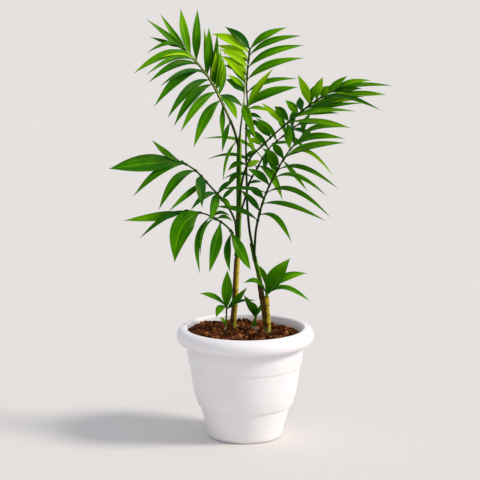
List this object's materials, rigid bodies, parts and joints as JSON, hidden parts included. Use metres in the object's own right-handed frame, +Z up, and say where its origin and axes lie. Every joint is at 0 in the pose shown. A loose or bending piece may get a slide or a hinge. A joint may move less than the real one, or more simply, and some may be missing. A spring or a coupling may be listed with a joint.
{
  "type": "potted areca palm",
  "caption": "Young palm in a tapered plastic nursery pot with a rolled rim: ringed canes and young shoots stand in the soil and carry arching fronds of pointed leaflets.",
  "frame": {"origin": "centre of the pot's base, on the surface that the pot stands on", "axes": "+Z up along the plant, +X to the right as the picture sees it, +Y away from the viewer"},
  "size_m": [0.3997, 0.2051, 0.6276],
  "materials": {
    "white_plastic": "smooth moulded white plastic",
    "potting_soil": "crumbly reddish brown potting soil",
    "cane_bark": "smooth yellow to brown cane with ring scars, green above",
    "shoot_green": "satin young leaf",
    "deep_green": "satin grown leaf",
    "light_green": "satin new leaf"
  },
  "bodies": {
    "root": {"pot": "white_plastic", "soil": "potting_soil", "cane_left": "cane_bark", "cane_right": "cane_bark", "sprout_left": "shoot_green", "sprout_centre": "shoot_green", "sprout_right": "shoot_green", "frond_low_left": "deep_green", "frond_mid_left": "deep_green", "frond_back_right": "deep_green", "frond_upper_right": "deep_green", "frond_top_left": "deep_green", "frond_young_top": "light_green", "frond_right": "deep_green", "frond_top_centre": "deep_green"}
  },
  "joints": []
}
